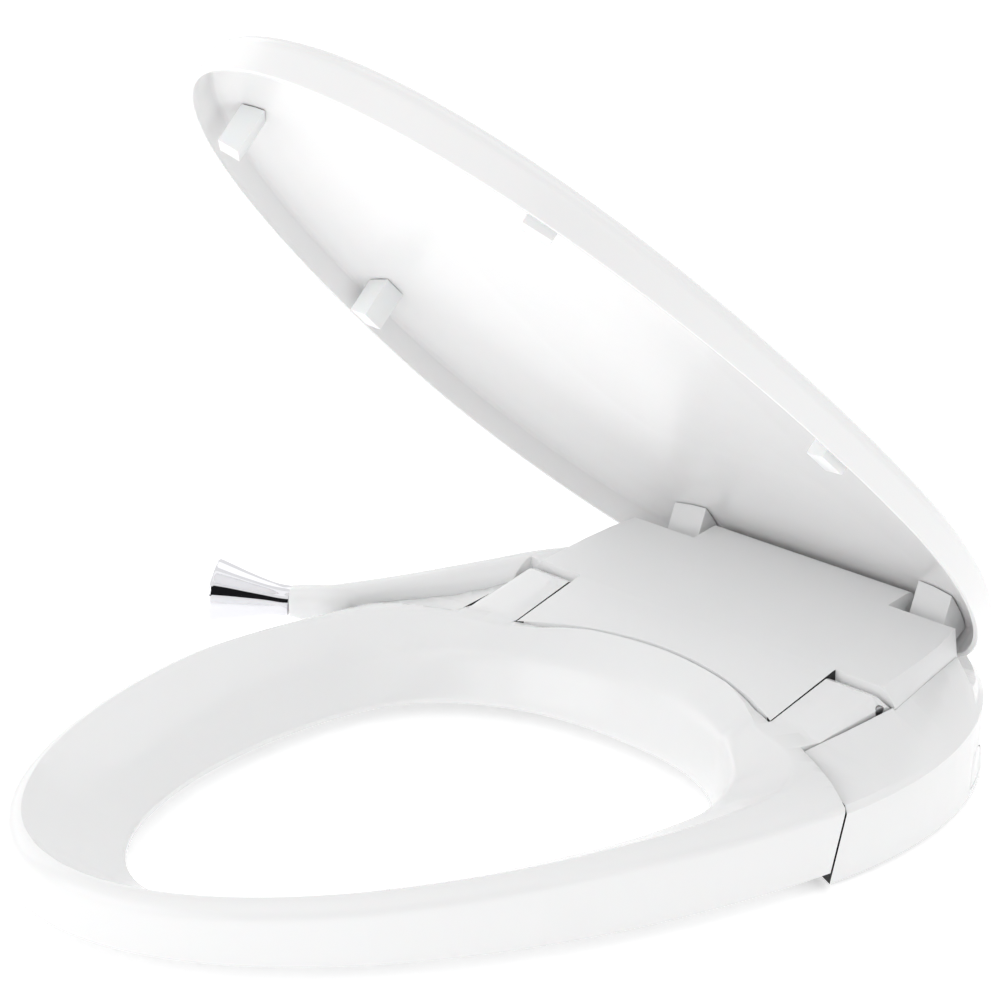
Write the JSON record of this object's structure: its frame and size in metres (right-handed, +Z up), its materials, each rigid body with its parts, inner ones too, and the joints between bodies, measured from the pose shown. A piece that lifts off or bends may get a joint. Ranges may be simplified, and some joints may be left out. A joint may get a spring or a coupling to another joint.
{
  "type": "electric bidet seat",
  "caption": "Oval toilet seat ring and domed lid hinged on a rear housing that holds a spray wand, valve and chrome side knob.",
  "frame": {"origin": "middle of the mounting plate's underside, on the bowl's rim midway between the two fixing bolts", "axes": "+Z up, the seat's front towards -Y, +X to the user's left as they sit"},
  "size_m": [0.4409, 0.516, 0.3852],
  "materials": {
    "gloss_white": "glossy moulded white",
    "satin_white": "fine satin moulded off-white",
    "inner_plastic": "plain moulded light grey",
    "rubber": "soft translucent-looking white pads and seal",
    "steel": "plain",
    "brass": "plain machined",
    "chrome": "polished"
  },
  "bodies": {
    "base": {"top_cover": "satin_white", "rear_housing": "gloss_white", "base_chassis": "inner_plastic", "mounting_plate": "inner_plastic", "chassis_screw_front_right": "steel", "chassis_screw_front_left": "steel", "chassis_screw_rear_right": "steel", "chassis_screw_rear_left": "steel", "seat_pin_right": "steel", "seat_pin_left": "steel", "lid_pin_right": "steel", "lid_pin_left": "steel", "lid_damper_right": "inner_plastic", "lid_damper_left": "inner_plastic", "wand_guide": "inner_plastic", "wand_spring": "steel", "button_spring": "steel", "control_arm": "gloss_white", "valve_cartridge": "brass", "spray_tube": "inner_plastic", "supply_tube": "inner_plastic", "inlet_fitting": "brass"},
    "seat": {"seat_ring": "gloss_white", "seat_ring_base": "satin_white", "seat_bumper_side_right": "rubber", "seat_bumper_side_left": "rubber", "seat_bumper_front_right": "rubber", "seat_bumper_front_left": "rubber"},
    "lid": {"lid_shell": "gloss_white", "lid_hinge_right": "satin_white", "lid_hinge_left": "satin_white", "lid_bumper_side_right": "rubber", "lid_bumper_side_left": "rubber", "lid_bumper_front_right": "rubber", "lid_bumper_front_left": "rubber"},
    "knob": {"control_knob": "chrome", "valve_spindle": "brass"},
    "wand": {"spray_wand": "satin_white", "wand_tip": "satin_white", "wand_seal": "rubber"},
    "button": {"release_button": "gloss_white", "latch_bar": "inner_plastic"}
  },
  "joints": [
    {"name": "lid_hinge", "type": "hinge", "parent": "base", "child": "lid", "pos_m": [0, 0, 0.062], "axis": [-1, 0, 0], "range_deg": [-45.4, 55]},
    {"name": "seat_hinge", "type": "hinge", "parent": "base", "child": "seat", "pos_m": [0, -0.079, 0.0498], "axis": [-1, 0, 0], "range_deg": [0, 38]},
    {"name": "knob_turn", "type": "hinge", "parent": "base", "child": "knob", "pos_m": [-0.215, -0.1724, 0.0355], "axis": [-0.7519, -0.6516, 0.1003], "range_deg": [-90, 90]},
    {"name": "wand_slide", "type": "slide", "parent": "base", "child": "wand", "axis": [0, -0.788, -0.6157], "range_m": [0, 0.05], "stiffness_N_per_m": 30, "springref_m": -0.02, "deforming": ["wand_spring"]},
    {"name": "button_press", "type": "slide", "parent": "base", "child": "button", "axis": [-1, 0, 0], "range_m": [0, 0.004], "stiffness_N_per_m": 400, "springref_m": -0.003, "deforming": ["button_spring"]}
  ]
}
